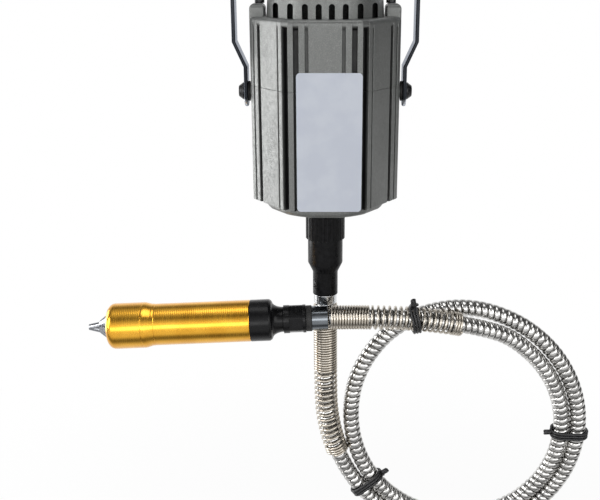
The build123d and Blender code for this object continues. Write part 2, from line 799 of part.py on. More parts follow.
def make_collar():
    """Steel collar on the hose's end, with the spigot that the handpiece slides on."""
    collar = ring(collar_radius, core_radius + open_play, 0, collar_length)
    return collar + ring(spigot_radius, core_radius + open_play, collar_length, spigot_tip_at)


def make_dust_ring():
    """Rubber ring on the spigot, against the collar."""
    return ring(dust_ring_radius, spigot_radius + seat_play, ring_at, ring_at + dust_ring_length)


def make_drive_key():
    """Square end of the flexible core, where it leaves the hose."""
    round_part = ring(core_radius, 0, 2.0, spigot_tip_at - 0.5)
    key = extrude(Rectangle(drive_key_across, drive_key_across), drive_key_length)
    return round_part + Pos(0, 0, spigot_tip_at - 0.5) * key


def make_connector():
    """Black quick connector with six flats, screwed to the handpiece's rear cap."""
    body = ring(connector_radius, spigot_radius + sliding_fit, connector_at, neck_at)
    six_flats = RegularPolygon(connector_across / 2, 6, major_radius=False)
    flats = Pos(0, 0, connector_at + 2.0) * extrude(six_flats, connector_length - 6.0)
    band = ring(connector_radius + 2, 0, connector_at + 2.0, neck_at - 4.0)
    return body - (band - flats)


def make_rear_cap():
    """Black rear cap with its waisted neck."""
    wall = grip_radius - neck_radius
    points = [(spigot_radius + sliding_fit, neck_at), (neck_radius, neck_at)]
    steps = 6
    for i in range(1, steps):
        t = i / steps
        points.append((neck_radius + wall * (1 - math.sqrt(1 - t * t)), neck_at + neck_length * t))
    plug = grip_bore - seat_play
    points += [(grip_radius, rear_cap_at), (grip_radius, grip_rear_at), (plug, grip_rear_at),
               (plug, rear_bearing_at), (grip_bore - 2.5, rear_bearing_at), (grip_bore - 2.5, socket_at),
               (spigot_radius + sliding_fit, socket_at)]
    return turned(*points)


def make_grip_rear():
    """Gold anodised rear grip tube."""
    return ring(grip_radius, grip_bore, grip_rear_at, band_at)


def make_grip_band():
    """Gold step ring between the two grip tubes."""
    return turned((grip_bore, band_at), (grip_radius, band_at), (grip_front_radius, grip_front_at),
                  (grip_bore, grip_front_at))


def make_grip_front():
    """Gold anodised front grip with a rounded rim and a thin lip round the chuck."""
    tube_body = ring(grip_front_radius, 0, grip_front_at, grip_front_end)
    rim = [e for e in tube_body.edges() if abs(e.center().Z - grip_front_end) < 0.01]
    tube_body = fillet(rim, min(grip_front_round, grip_front_radius - nose_back_radius - open_play - 0.1))
    tube_body -= ring(front_bore, 0, grip_front_at - 1, grip_front_end - grip_lip)
    return tube_body - ring(nose_back_radius + open_play, 0, grip_front_at, grip_front_end + 1)


def make_hand_bearing(at, radius):
    """Ball bearing of the handpiece's spindle, as a closed ring."""
    return ring(radius - seat_play, spindle_radius + running_fit, at, at + hand_bearing_height)


def make_bearing_sleeve():
    """Spacer sleeve that carries the front bearing inside the band and the front grip."""
    low = band_at - 4.0
    sleeve = ring(grip_bore - seat_play, grip_bore - 1.6, low, front_bearing_at + hand_bearing_height)
    return sleeve


def make_spindle():
    """Hollow-ended spindle: square socket at the back, chuck seat at the front."""
    spindle = ring(spindle_radius, 0, socket_at + 0.6, chuck_at)
    side = drive_key_across + 2 * drive_key_play
    return spindle - Pos(0, 0, socket_at - 1) * extrude(Rectangle(side, side), drive_key_length + 3)


def jaw_place(turn):
    """Local frame of one jaw: Z along its slide towards the tip, at a turn about the handpiece's axis."""
    centre = jaw_tip_radius - jaw_radius
    return Rot(0, 0, turn) * Pos(centre, 0, jaw_tip_at) * Rot(0, -jaw_angle, 0)


def jaw_turns():
    """The three jaws stand a third of a turn apart, one of them at the back."""
    return [90 + 120 * i for i in range(3)]


def make_chuck_body():
    """Steel chuck: a drum, a conical nose, three slanting jaw holes and the key's holes."""
    drum_top = nose_front_at - nose_cone_length
    body = turned((0, chuck_at), (chuck_radius, chuck_at), (chuck_radius, drum_top - 1.5),
                  (nose_back_radius, drum_top - 1.5), (nose_back_radius, drum_top),
                  (nose_front_radius, nose_front_at), (0, nose_front_at))
    body -= ring(tool_bore, 0, chuck_at + 2, nose_front_at + 1)
    hole_length = jaw_length + jaw_travel + 3.0
    for turn in jaw_turns():
        body -= jaw_place(turn) * Pos(0, 0, -hole_length / 2 + 2) * Cylinder(jaw_radius + running_fit, hole_length + 4)
        key = Pos(0, 0, nose_front_at - key_hole_back) * Rot(0, 0, turn + 60)
        body -= key * Pos(nose_back_radius - key_hole_depth, 0, 0) * Rot(0, 90, 0) * Pos(0, 0, 4) * Cylinder(key_hole_radius, 8)
    return body


def make_jaw(turn):
    """One jaw: a slanting round bar cut to a third of the circle and flat at its tip."""
    bar = jaw_place(turn) * Pos(0, 0, -jaw_length / 2 + 1.0) * Cylinder(jaw_radius, jaw_length + 2.0)
    reach = 60.0
    half = math.radians(60)
    apex = jaw_slit / math.sin(half)
    wedge = make_face(Polyline((apex, 0), (apex + reach * math.cos(half), reach * math.sin(half)),
                               (apex + reach * math.cos(half), -reach * math.sin(half)), close=True))
    third = Rot(0, 0, turn) * Pos(0, 0, chuck_at - 30) * extrude(wedge, jaw_tip_at - chuck_at + 30)
    jaw = (bar & third) - ring(shank_radius + shank_play, 0, chuck_at, jaw_tip_at + 1)
    return max(jaw.solids(), key=lambda s: s.volume)


# ---------------------------------------------------------------- writing the parts
def main():
    os.makedirs("parts", exist_ok=True)
    save("bail", make_bail())
    save("pivot_washers", *both_sides(make_pivot_washer()))
    save("pivot_screws", *both_sides(make_pivot_screw()))
    save("upper_casting", make_upper_casting())
    save("lower_casting", make_lower_casting())
    save("case_screws", *[make_case_screw(x, y) for x, y in case_screw_places])
    save("vent_cap", make_vent_cap())
    save("intake_filter", make_intake_filter())
    save("lead_gland", make_lead_gland())
    save("blank_label", make_label())

    save("stator_core", make_stator_core())
    save("field_coils", *make_field_coil(0), *make_field_coil(180))
    save("armature_shaft", make_armature_shaft())
    save("armature_core", make_armature_core())
    save("armature_windings", *make_armature_windings())
    save("commutator", make_commutator())
    save("cooling_fan", make_fan())
    save("upper_bearing", make_bearing(upper_bearing_top))
    save("lower_bearing", make_bearing(lower_bearing_top))
    save("brush_holders", *both_sides(make_brush_holder()))
    save("carbon_brushes", *both_sides(make_brush()))
    save("brush_springs", *both_sides(make_brush_spring()))

    save("motor_nose", make_motor_nose())
    save("coupling_nut", make_coupling_nut())
    save("shaft_adapter", make_shaft_adapter())
    save("adapter_set_screws", *[make_set_screw(place) for place in set_screw_places()])
    save("motor_ferrule", make_motor_ferrule())
    save("core_stub", make_core_stub())

    for name, part in zip(("hose_lead_in", "hose_single_turn", "hose_lead_out"), hose_tubes()):
        solid, length = tube(part, hose_radius)
        save(name, solid)
        print(name, "radii", [round(r, 1) for r in part[1]], "length", round(length, 1),
              "volume / (section x length)", round(solid.volume / (math.pi * hose_radius**2 * length), 4))
    save("hose_coil", make_hose_coil())
    motor_spring, hand_spring = make_relief_springs()
    save("motor_relief_spring", motor_spring)
    save("hand_relief_spring", hand_spring)
    save("tie_right", make_turns_tie(right_tie_angle))
    save("tie_lower", make_turns_tie(lower_tie_angle))
    save("tie_top", make_top_tie())

    save("hose_collar", on_handpiece(make_collar()))
    save("dust_ring", on_handpiece(make_dust_ring()))
    save("drive_key", on_handpiece(make_drive_key()))
    save("quick_connector", on_handpiece(make_connector()))
    save("rear_cap", on_handpiece(make_rear_cap()))
    save("grip_rear", on_handpiece(make_grip_rear()))
    save("grip_band", on_handpiece(make_grip_band()))
    save("grip_front", on_handpiece(make_grip_front()))
    save("rear_bearing", on_handpiece(make_hand_bearing(rear_bearing_at, grip_bore)))
    save("front_bearing", on_handpiece(make_hand_bearing(front_bearing_at, grip_bore - 1.6)))
    save("bearing_sleeve", on_handpiece(make_bearing_sleeve()))
    save("spindle", on_handpiece(make_spindle()))
    save("chuck_body", on_handpiece(make_chuck_body()))
    for number, turn in enumerate(jaw_turns(), 1):
        save(f"jaw_{number}", on_handpiece(make_jaw(turn)))


main()
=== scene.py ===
"""Hanging flex-shaft rotary tool: ribbed motor on a bail, steel hose in a coil, gold handpiece."""

import math

import bmesh
import bpy
import numpy as np
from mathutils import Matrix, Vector


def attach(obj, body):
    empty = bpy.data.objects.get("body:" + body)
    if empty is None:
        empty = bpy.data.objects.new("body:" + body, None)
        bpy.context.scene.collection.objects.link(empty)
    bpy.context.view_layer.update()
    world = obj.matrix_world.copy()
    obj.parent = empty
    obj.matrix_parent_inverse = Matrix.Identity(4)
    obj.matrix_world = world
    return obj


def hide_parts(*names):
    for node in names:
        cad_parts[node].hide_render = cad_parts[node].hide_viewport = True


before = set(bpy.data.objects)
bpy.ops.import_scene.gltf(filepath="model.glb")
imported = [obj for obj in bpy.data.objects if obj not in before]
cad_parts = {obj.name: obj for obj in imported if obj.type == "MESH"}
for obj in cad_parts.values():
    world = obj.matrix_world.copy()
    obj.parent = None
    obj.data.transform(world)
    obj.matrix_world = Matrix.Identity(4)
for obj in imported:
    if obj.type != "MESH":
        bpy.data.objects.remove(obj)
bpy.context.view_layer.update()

# ------------------------------------------------------------------ camera
# A plain view from the front and a little above. The lens is moved sideways only by the motor's
# distance from the middle of the frame.
camera = bpy.data.objects.new("camera", bpy.data.cameras.new("camera"))
bpy.context.scene.collection.objects.link(camera)
camera_pitch = math.radians(18)
camera_distance = 0.630
camera_aim = (0, 0, -0.1968)
camera.location = (
    camera_aim[0],
    camera_aim[1] - camera_distance * math.cos(camera_pitch),
    camera_aim[2] + camera_distance * math.sin(camera_pitch),
)
camera.rotation_euler = (math.pi / 2 - camera_pitch, 0, 0)
camera.data.sensor_width = 36
camera.data.lens = 54
camera.data.shift_x = -25.3 / 600
bpy.context.scene.camera = camera
bpy.context.scene.view_settings.view_transform = "Standard"


# ------------------------------------------------------------------ hose
# Flexible shaft's outer hose: bright steel strip wound into an interlocked hose, 12 mm across, from the
# motor's ferrule, twice round in a coil and into the handpiece's collar.
coil_centre = (98.0, -332.8)
outer_turn_radius = 91.0
inner_turn_radius = 78.8
turn_oval = 2.4
turn_oval_angle = 127.0
turn_step = 30
coil_back = 3.5
coil_forward = 2.5
ferrule_mouth = (0, 0, -235.4)
collar_back = (2.3, -18.0, -240.28)
hose_radius = 6.0


def metres(*values):
    """Millimetres to metres."""
    return tuple(v / 1000 for v in values)


def smooth(value, start, end):
    """0 to 1 between start and end, level at both."""
    t = min(1.0, max(0.0, (value - start) / (end - start)))
    return t * t * (3 - 2 * t)


def coil_place(angle):
    """Radius and depth of the hose's middle in the coil: a slow step inwards plus an oval."""
    step_in = (outer_turn_radius - inner_turn_radius) * smooth(angle, 90, 180)
    oval = turn_oval * math.cos(math.radians(2 * (angle - turn_oval_angle)))
    depth = coil_back * smooth(angle, 10, 85) * (1 - smooth(angle, 130, 240))
    return outer_turn_radius - step_in + oval, depth - coil_forward * smooth(angle, 380, 430)


def coil_point(angle):
    """A corner of the route round the coil, in millimetres."""
    radius, depth = coil_place(angle)
    radius /= math.cos(math.radians(turn_step / 2))
    a = math.radians(angle)
    return (coil_centre[0] + radius * math.cos(a), depth, coil_centre[1] + radius * math.sin(a))


# Straight down out of the ferrule, round the coil in even steps, and back up to the collar in a low arc.
route = [ferrule_mouth, (0, 0, -284), (1.2, 0, -334)]
route += [coil_point(angle) for angle in range(-150, 421, turn_step)]
route += [(112, -6.8, -252.7), (76, -13.4, -244.2), (38, -17.5, -240.0), collar_back]

spline_data = bpy.data.curves.new("hose_line", "CURVE")
spline_data.dimensions = "3D"
spline = spline_data.splines.new("NURBS")
spline.points.add(len(route) - 1)
for point, place in zip(spline.points, route):
    point.co = (*metres(*place), 1)
spline.order_u = 3
spline.use_endpoint_u = True
spline.resolution_u = 24
line_object = bpy.data.objects.new("hose_line", spline_data)
line_mesh = bpy.data.meshes.new_from_object(line_object)
hose_line = np.empty(len(line_mesh.vertices) * 3)
line_mesh.vertices.foreach_get("co", hose_line)
hose_line = hose_line.reshape(-1, 3)
bpy.data.objects.remove(line_object)
along = np.concatenate([[0], np.cumsum(np.linalg.norm(np.diff(hose_line, axis=0), axis=1))])
hose_length = along[-1]


def line_at(lengths):
    """Places on the hose's line at distances from its start; past an end it stays at that end."""
    return np.stack([np.interp(lengths, along, hose_line[:, i]) for i in range(3)], axis=-1)


def carried(lengths):
    """Places, directions and two side directions of the hose's line at distances from its start.

    The sides are the coil's own normal, +Y made square to the line, and the cross product of both.
    """
    lengths = np.asarray(lengths)
    places = line_at(lengths)
    step = 0.002
    forward = line_at(lengths + step) - line_at(lengths - step)
    forward /= np.linalg.norm(forward, axis=-1, keepdims=True)
    side = np.array([0.0, 1.0, 0.0]) - forward * forward[..., 1:2]
    side /= np.linalg.norm(side, axis=-1, keepdims=True)
    return places, forward, side, np.cross(forward, side)


band_pitch = 4.7
band_crown = 0.5
band_groove = 0.5
band_proud = 0.1
steps_round = 28
groove_start, groove_end = 0.70, 0.93
half_profile = np.array([0.35, groove_start, 0.82, groove_end])
band_profile = np.concatenate([[-1.0], -half_profile[::-1], [0.0], half_profile])


def skin(name, points, closed_v=True, caps=False, merge=False, sunk=None):
    """A mesh from a grid of points [u, v, 3] whose faces join neighbours.

    caps closes the two u ends, each with a fan round its middle. merge joins points that lie together and
    drops the faces that close up with them. sunk is a grid of how deep in a groove each point lies, from 0
    to 1, kept as an attribute from which the finishes paint shade into the grooves.
    """
    rows, columns = points.shape[:2]
    index = np.arange(rows * columns).reshape(rows, columns)
    if closed_v:
        index = np.concatenate([index, index[:, :1]], axis=1)
    quads = np.stack([index[:-1, :-1], index[:-1, 1:], index[1:, 1:], index[1:, :-1]], axis=-1).reshape(-1, 4)
    vertices = points.reshape(-1, 3)
    faces = quads.tolist()
    if caps:
        ends = np.stack([points[0].mean(axis=0), points[-1].mean(axis=0)])
        first, last = len(vertices), len(vertices) + 1
        vertices = np.concatenate([vertices, ends])
        hub = np.ones(index.shape[1] - 1, dtype=int)
        faces += np.stack([index[0, 1:], index[0, :-1], hub * first], axis=-1).tolist()
        faces += np.stack([index[-1, :-1], index[-1, 1:], hub * last], axis=-1).tolist()
    mesh = bpy.data.meshes.new(name)
    mesh.from_pydata(vertices.tolist(), [], faces)
    if sunk is not None:
        depth = np.zeros(len(vertices), dtype=np.float32)
        depth[: sunk.size] = sunk.ravel()
        mesh.attributes.new("sunk", "FLOAT", "POINT").data.foreach_set("value", depth)
    if merge:
        work = bmesh.new()
        work.from_mesh(mesh)
        bmesh.ops.remove_doubles(work, verts=work.verts, dist=5e-6)
        bmesh.ops.dissolve_degenerate(work, edges=work.edges, dist=5e-6)
        work.to_mesh(mesh)
        work.free()
    mesh.shade_smooth()
    piece = bpy.data.objects.new(name, mesh)
    bpy.context.scene.collection.objects.link(piece)
    return piece


def hose_skin(name):
    """Interlocked strip round the hose's line, one band for each turn of a helix.

    Round the hose by j steps and along it by K turns, a point lies at s = (K + j/steps + x/2) * pitch, so the
    last column meets the first one turn on. Its radius is r = R - crown * x^2 - groove * S(|x|), where x runs
    from -1 to 1 across the band and S rises smoothly from 0 to 1 between |x| = 0.70 and 0.93.
    """
    turns = np.arange(-2, int(hose_length * 1000 / band_pitch) + 2)
    row = (turns[:, None] + band_profile[None] / 2).reshape(-1, 1)
    column = np.arange(steps_round + 1)[None]
    s_along = (row + column / steps_round) * band_pitch / 1000
    x = np.abs(np.tile(band_profile, len(turns)))[:, None]
    rise = np.clip((x - groove_start) / (groove_end - groove_start), 0, 1)
    radius = hose_radius + band_proud - band_crown * x**2 - band_groove * rise**2 * (3 - 2 * rise)
    inside = (s_along > 0) & (s_along < hose_length)
    radius = np.where(inside, radius, 0) / 1000
    places, _, side, up = carried(np.clip(s_along, 0, hose_length))
    angle = 2 * np.pi * column / steps_round
    spokes = side * np.cos(angle)[..., None] + up * np.sin(angle)[..., None]
    sunk = np.broadcast_to(rise, radius.shape)
    return skin(name, places + spokes * radius[..., None], closed_v=False, merge=True, sunk=sunk)


hose = hose_skin("hose")


# Shader maths as plain expressions: a Signal wraps one socket of a material's node tree.
class Signal:
    """A socket of a node tree. Arithmetic on it adds Math nodes; make() adds any other node."""

    def __init__(self, tree, socket=None):
        self.tree, self.socket = tree, socket

    def make(self, kind, settings=(), inputs=(), output=0):
        """Adds a node: its settings first, then the values or links of its sockets."""
        node = self.tree.nodes.new(kind)
        for name, value in dict(settings).items():
            if name == "stops":
                while len(node.color_ramp.elements) < len(value):
                    node.color_ramp.elements.new(0.5)
                for element, (place, colour) in zip(node.color_ramp.elements, value):
                    element.position = place
                    element.color = (colour, colour, colour, 1)
            else:
                setattr(node, name, value)
        for name, value in dict(inputs).items():
            if isinstance(value, Signal):
                self.tree.links.new(value.socket, node.inputs[name])
            else:
                node.inputs[name].default_value = value
        return Signal(self.tree, node.outputs[output])

    def maths(self, operation, first, second=0.0):
        """One Math node on two values."""
        return self.make("ShaderNodeMath", {"operation": operation}, {0: first, 1: second})

    def __add__(self, other):
        return self.maths("ADD", self, other)

    def __radd__(self, other):
        return self.maths("ADD", other, self)

    def __sub__(self, other):
        return self.maths("SUBTRACT", self, other)

    def __rsub__(self, other):
        return self.maths("SUBTRACT", other, self)

    def __mul__(self, other):
        return self.maths("MULTIPLY", self, other)

    def __rmul__(self, other):
        return self.maths("MULTIPLY", other, self)

    def limit(self, low, high, new_low=0.0, new_high=1.0):
        """Maps low..high to new_low..new_high with soft ends, and holds it there."""
        return self.make(
            "ShaderNodeMapRange",
            {"interpolation_type": "SMOOTHSTEP"},
            {"Value": self, "From Min": low, "From Max": high, "To Min": new_low, "To Max": new_high},
        )

    def blend(self, first, second):
        """Mixes two colours by this signal."""
        return self.make("ShaderNodeMix", {"data_type": "RGBA"}, {0: self, 6: first, 7: second}, 2)

    def noise(self, scale, detail=3.0, stretch=None, roughness=0.5):
        """Cloudy variation in a position, with an optional stretch of the position."""
        place = self
        if stretch is not None:
            place = self.make("ShaderNodeMapping", {}, {"Vector": self, "Scale": stretch})
        wanted = {"Vector": place, "Scale": scale, "Detail": detail, "Roughness": roughness}
        return self.make("ShaderNodeTexNoise", {}, wanted)

    def axis(self, name):
        """One coordinate of a position."""
        return self.make("ShaderNodeSeparateXYZ", {}, {"Vector": self}, name)


def finish_of(name):
    """A new material: gives it, its position signal and its surface shader's inputs."""
    material = bpy.data.materials.new(name)
    material.use_nodes = True
    tree = material.node_tree
    start = Signal(tree)
    place = start.make("ShaderNodeTexCoord", output="Object")
    return material, place, tree.nodes["Principled BSDF"]


def wire(shader, **inputs):
    """Sets or links inputs of the surface shader; underscores in a name stand for spaces."""
    for name, value in inputs.items():
        name = name.replace("_", " ")
        if isinstance(value, Signal):
            value.tree.links.new(value.socket, shader.inputs[name])
        else:
            shader.inputs[name].default_value = value


def relief(height, distance, strength):
    """A bump of a height signal, in metres."""
    return height.make("ShaderNodeBump", {}, {"Height": height, "Distance": distance, "Strength": strength})


hose_steel, place, shader = finish_of("hose_steel")
grain = place.noise(900, 4)
smears = place.noise(90, 3)
# Painted shade: deep in the hose's grooves the base colour falls to near black.
groove = place.make("ShaderNodeAttribute", {"attribute_name": "sunk"}, output="Fac").limit(0.15, 0.85)
wire(
    shader,
    Base_Color=groove.blend(smears.limit(0.35, 0.65).blend((0.44, 0.435, 0.425, 1), (0.68, 0.672, 0.655, 1)),
                            (0.13, 0.126, 0.118, 1)),
    Metallic=1.0,
    Roughness=grain.limit(0.3, 0.7, 0.14, 0.27),
    Normal=relief(grain, 0.00004, 0.4),
)


def dress(piece, material, body, slot, *nodes):
    """Gives a piece its finish and its body, and hides the CAD nodes that it stands for. slot is not used."""
    piece.data.materials.clear()
    piece.data.materials.append(material)
    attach(piece, body)
    if nodes:
        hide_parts(*nodes)


dress(hose, hose_steel, "motor", "hose_steel",
      "hose_lead_in", "hose_coil", "hose_single_turn", "hose_lead_out")

# ------------------------------------------------------------------ relief springs
# Nickel-plated wire springs that keep the hose from kinking at both ends: wound close at the fitting,
# open further out, and closed again at the free end.
wire_radius = 0.92
spring_radius = 7.65
close_pitch = 1.9
open_pitch = 3.98
spring_columns = 10
steps_per_turn = 28
motor_spring_lengths = (51.0, 63.0, 5.5)
hand_spring_lengths = (27.0, 60.0, 6.0)
motor_spring_from, hand_spring_from = 0.0015, 0.0012


def spring_skin(name, start, sign, close_length, open_length, end_length):
    """A wire spring round the hose's line.

    The wire's middle goes round the line at spring_radius while its distance along the line grows by the
    local pitch each turn; the wire's own circle lies in the radial and lengthways directions.
    """
    turns = np.array([close_length / close_pitch, open_length / open_pitch, end_length / close_pitch])
    count = int(turns.sum() * steps_per_turn)
    turn = np.linspace(0, turns.sum(), count)
    knots = np.concatenate([[0], np.cumsum(turns)])
    reach = np.concatenate([[0], np.cumsum([close_length, open_length, end_length])])
    distance = np.interp(turn, knots, reach) / 1000
    places, forward, side, up = carried(start + sign * distance)
    a = 2 * np.pi * turn
    radial = side * np.cos(a)[:, None] + up * np.sin(a)[:, None]
    b = np.linspace(0, 2 * np.pi, spring_columns, endpoint=False)
    middle = places + radial * spring_radius / 1000
    ring = radial[:, None] * np.cos(b)[None, :, None] + sign * forward[:, None] * np.sin(b)[None, :, None]
    return skin(name, middle[:, None] + ring * wire_radius / 1000, caps=True)


motor_spring = spring_skin("motor_spring_wire", motor_spring_from, 1, *motor_spring_lengths)
hand_spring = spring_skin("hand_spring_wire", hose_length - hand_spring_from, -1, *hand_spring_lengths)

spring_nickel, place, shader = finish_of("spring_nickel")
tint = place.noise(120, 3)
wire(
    shader,
    Base_Color=tint.blend((0.44, 0.40, 0.34, 1), (0.57, 0.53, 0.47, 1)),
    Metallic=1.0,
    Roughness=place.noise(700, 3).limit(0.3, 0.7, 0.14, 0.27),
)
dress(motor_spring, spring_nickel, "motor", "spring_steel", "motor_relief_spring")
dress(hand_spring, spring_nickel, "motor", "spring_steel", "hand_relief_spring")

# ------------------------------------------------------------------ twist ties
# Black plastic-covered wire wound round two strands of the coil and twisted together at its ends, in
# three places. Each is one soft wire.
tie_wire_radius = 0.95
tie_wraps = 3
tie_pitch = 2.0
tie_tail = 4.5
tie_tail_turns = 2.5
tie_tail_start = 0.9
tie_clear = 0.25
tie_steps = 56
spring_outside = spring_radius + wire_radius
# Each tie: its names, its angle round the coil, the radii that it goes round, and its knot's direction.
tie_places = (
    ("right_twist_tie", "tie_right", -4, (hose_radius, hose_radius), 8),
    ("lower_twist_tie", "tie_lower", -142, (hose_radius, hose_radius), 12),
    ("top_twist_tie", "tie_top", 112, (hose_radius, spring_outside), 60),
)


def strands_at(angle):
    """Places and directions where the hose's line passes an angle round the coil."""
    across = hose_line[:, [0, 2]] * 1000 - coil_centre
    turn = np.degrees(np.unwrap(np.arctan2(across[:, 1], across[:, 0])))
    count = np.floor((turn - angle) / 360)
    hits = along[np.nonzero(np.diff(count))[0]]
    places, forward, _, _ = carried(hits)
    return places, forward


def wire_skin(name, path, reference, radius, columns=10):
    """A round wire along a path, its circles square to the path and turned towards a reference direction."""
    forward = np.gradient(path, axis=0)
    forward /= np.linalg.norm(forward, axis=-1, keepdims=True)
    side = reference - forward * (forward @ reference)[:, None]
    side /= np.linalg.norm(side, axis=-1, keepdims=True)
    up = np.cross(forward, side)
    b = np.linspace(0, 2 * np.pi, columns, endpoint=False)
    ring = side[:, None] * np.cos(b)[None, :, None] + up[:, None] * np.sin(b)[None, :, None]
    return skin(name, path[:, None] + ring * radius, caps=True)


def twist_tie(name, angle, radii, knot_turn):
    """A wire wound on the hull of two circles, with twisted ends.

    In direction d the hull's point is c + R d of the circle whose c.d + R is larger; the wire goes round it
    while it climbs one pitch each turn, and its tails leave in the knot's direction on a double helix.
    """
    places, forward = strands_at(angle)
    axis = forward[0] * np.sign(forward[0] @ forward[-1]) + forward[-1]
    axis /= np.linalg.norm(axis)
    gap = places[-1] - places[0]
    gap -= axis * (gap @ axis)
    half = np.linalg.norm(gap) / 2
    u_side = gap / (2 * half)
    v_side = np.cross(axis, u_side)
    middle = (places[0] + places[-1]) / 2
    reach = np.array(radii) / 1000 + (tie_clear + tie_wire_radius) / 1000
    t = np.radians(knot_turn) + np.linspace(0, 2 * np.pi * tie_wraps, tie_steps * tie_wraps)
    d = np.stack([np.cos(t), np.sin(t)], axis=-1)
    first = d[:, :1] * -half + reach[0] > d[:, :1] * half + reach[1]
    flat = np.where(first, [-half, 0] + reach[0] * d, [half, 0] + reach[1] * d)
    climb = (t - t[0]) / (2 * np.pi) - tie_wraps / 2
    wound = middle + flat[:, :1] * u_side + flat[:, 1:] * v_side + climb[:, None] * axis * tie_pitch / 1000
    out = u_side * d[0, 0] + v_side * d[0, 1]
    over = np.cross(axis, out)
    k = np.linspace(0, 1, 40)[:, None]
    base = middle + flat[0, 0] * u_side + flat[0, 1] * v_side
    tails = []
    for start in (0, np.pi):
        swing = start + k * 2 * tie_tail_turns * np.pi
        beside = (axis * np.cos(swing) + over * np.sin(swing)) * tie_wire_radius * 1.05
        tails.append(base + (out * (k * tie_tail + tie_tail_start) + beside) / 1000)
    wound = np.concatenate([tails[1][::-1], wound[2:-2], tails[0]])
    return wire_skin(name, wound, axis, tie_wire_radius / 1000)


tie_black, place, shader = finish_of("tie_black")
scuffs = place.noise(500, 4)
wire(
    shader,
    Base_Color=scuffs.limit(0.45, 0.7).blend((0.010, 0.010, 0.011, 1), (0.035, 0.035, 0.037, 1)),
    Roughness=scuffs.limit(0.3, 0.7, 0.35, 0.55),
    Normal=relief(scuffs, 0.0001, 0.4),
)
for name, node, *winding in tie_places:
    tie = twist_tie(name, *winding)
    dress(tie, tie_black, "motor", "tie_plastic", node)

# ------------------------------------------------------------------ cord
# The hose is the one cord: it leaves the motor's ferrule, and its far end is the handpiece's collar. Its
# springs and ties are built along its line. The line below only works out the ferrule's mouth in metres and
# keeps nothing.
metres(*ferrule_mouth)

# ------------------------------------------------------------------ motor casting
# Two halves of a die casting, grey metallic paint over a slightly rough cast skin: eight sides with
# long ribs and grooves, a fine seam round the middle, a round base and two screw ears on top.
flat_side, front_half = 42.2, 24.4
narrow_side, narrow_half = 48.5, 8.5
deck, seam, ribs_end, base_end = -40.0, -81.4, -157.5, -163.0
base_radius = 40.0
front_steps = ((10.3, 12.4, 1.7), (16.3, 19.6, 3.4))
slant_steps = ((8.3, 9.5, 1.3), (29.3, 32.5, 2.2), (36.5, 37.9, 1.3))
corner_step = (1.4, 4.5, 4.6)
corner_shelf = 0.6
deepest_step = corner_step[2]
edge_ease = 0.45
largest_cut = 0.45
mean_half_width = 45.0
least_groove = 0.04


def eased(corners, radius, steps=3):
    """A closed outline whose corners are short curves.

    Each corner C becomes (1-t)^2 A + 2t(1-t) C + t^2 D, where A and D lie on its edges, at the easing radius
    or at most the largest cut's share of the edge away.
    """
    corners = np.asarray(corners, dtype=float)
    before, after = np.roll(corners, 1, axis=0), np.roll(corners, -1, axis=0)
    cuts = []
    for other in (before, after):
        run = np.maximum(np.linalg.norm(other - corners, axis=-1, keepdims=True), 1e-6)
        cuts.append(corners + (other - corners) * np.minimum(largest_cut, radius / run))
    t = np.linspace(0, 1, steps)[None, :, None]
    curve = (1 - t) ** 2 * cuts[0][:, None] + 2 * t * (1 - t) * corners[:, None] + t**2 * cuts[1][:, None]
    return curve.reshape(-1, corners.shape[-1])


def casting_outline(depth):
    """The ribbed outline as (x, y, groove depth) in mm; depth scales its grooves from none to full."""
    quarter = []
    for start, end, deep in front_steps:
        quarter += [(start, -flat_side, 0), (start, -flat_side + deep * depth, deep * depth)]
        quarter += [(end, -flat_side + deep * depth, deep * depth), (end, -flat_side, 0)]
    fall = np.array([narrow_side - front_half, flat_side - narrow_half])
    length = np.linalg.norm(fall)
    run = fall / length
    inward = np.array([-run[1], run[0]])
    corner = np.array([front_half, -flat_side])
    before, after, deep = corner_step
    quarter += [(*(corner - (before, 0)), 0), (*(corner - (before, -deep * depth)), deep * depth)]
    quarter += [(*(corner + run * after + inward * (deep - corner_shelf) * depth), deep * depth),
                (*(corner + run * after), 0)]
    for start, end, deep in slant_steps:
        near, far, floor_in = corner + run * start, corner + run * end, inward * deep * depth
        quarter += [(*near, 0), (*(near + floor_in), deep * depth)]
        quarter += [(*(far + floor_in), deep * depth), (*far, 0)]
    quarter.append((narrow_side, -narrow_half, 0))
    quarter = np.array(quarter)
    right = np.concatenate([quarter, quarter[::-1] * (1, -1, 1)])
    return eased(np.concatenate([right, right[::-1] * (-1, 1, 1)]), edge_ease)


def casting_rows(steps):
    """Rows of (height, inset, groove depth) as points and depths: the outline pulled in by the inset."""
    rows = []
    for height, inset, depth in steps:
        flat = casting_outline(depth)
        flat[:, :2] *= 1 - inset / mean_half_width
        rows.append(np.stack([flat[:, 0], flat[:, 1], np.full(len(flat), height), flat[:, 2]], axis=1))
    return rows


def round_rows(like, steps):
    """Round rows of (radius, height) whose points stand at the same angles as another row's."""
    spokes = like[:, :2] / np.linalg.norm(like[:, :2], axis=1, keepdims=True)
    unit = np.ones((len(like), 1))
    return [np.concatenate([spokes * radius, unit * height, unit * 0], axis=1) for radius, height in steps]


def level_normals(piece):
    """Keeps wide flat faces flat in shading beside small rounded edges."""
    modifier = piece.modifiers.new("level_normals", "WEIGHTED_NORMAL")
    modifier.weight = 100
    modifier.keep_sharp = True
    return piece


def casting_shell(name, rows):
    """One half of the casting from its rows, with each point's groove depth kept for the painted shade in its
    grooves.
    """
    rows = np.array(rows)
    return level_normals(skin(name, rows[..., :3] / 1000, caps=True, sunk=rows[..., 3] / deepest_step))


